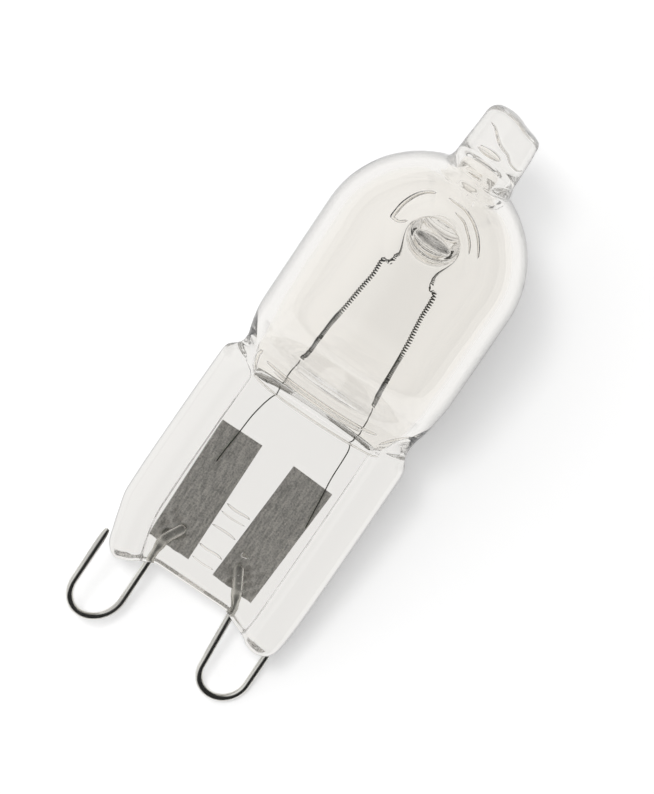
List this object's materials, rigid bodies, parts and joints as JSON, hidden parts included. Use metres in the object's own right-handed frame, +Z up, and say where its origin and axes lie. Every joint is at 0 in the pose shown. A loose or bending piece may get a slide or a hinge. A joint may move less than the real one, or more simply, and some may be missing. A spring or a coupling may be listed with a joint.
{
  "type": "halogen capsule bulb",
  "caption": "Clear quartz halogen capsule with a flat pinch seal, an exhaust stub on the dome, an arched filament and two looped wire contacts.",
  "frame": {"origin": "ground point under the middle of the lamp's box, the lamp lying on its back", "axes": "+Y along the lamp towards the exhaust stub, +X across the flat pinch, +Z up from the ground through the front"},
  "size_m": [0.014, 0.0412, 0.0144],
  "materials": {
    "quartz": "clear fused quartz",
    "tungsten": "drawn tungsten wire",
    "foil": "dull etched foil",
    "contact_wire": "smooth drawn wire"
  },
  "bodies": {
    "root": {"quartz_envelope": "quartz", "filament": "tungsten", "molybdenum_foil_left": "foil", "molybdenum_foil_right": "foil", "contact_loop_left": "contact_wire", "contact_loop_right": "contact_wire"}
  },
  "joints": []
}
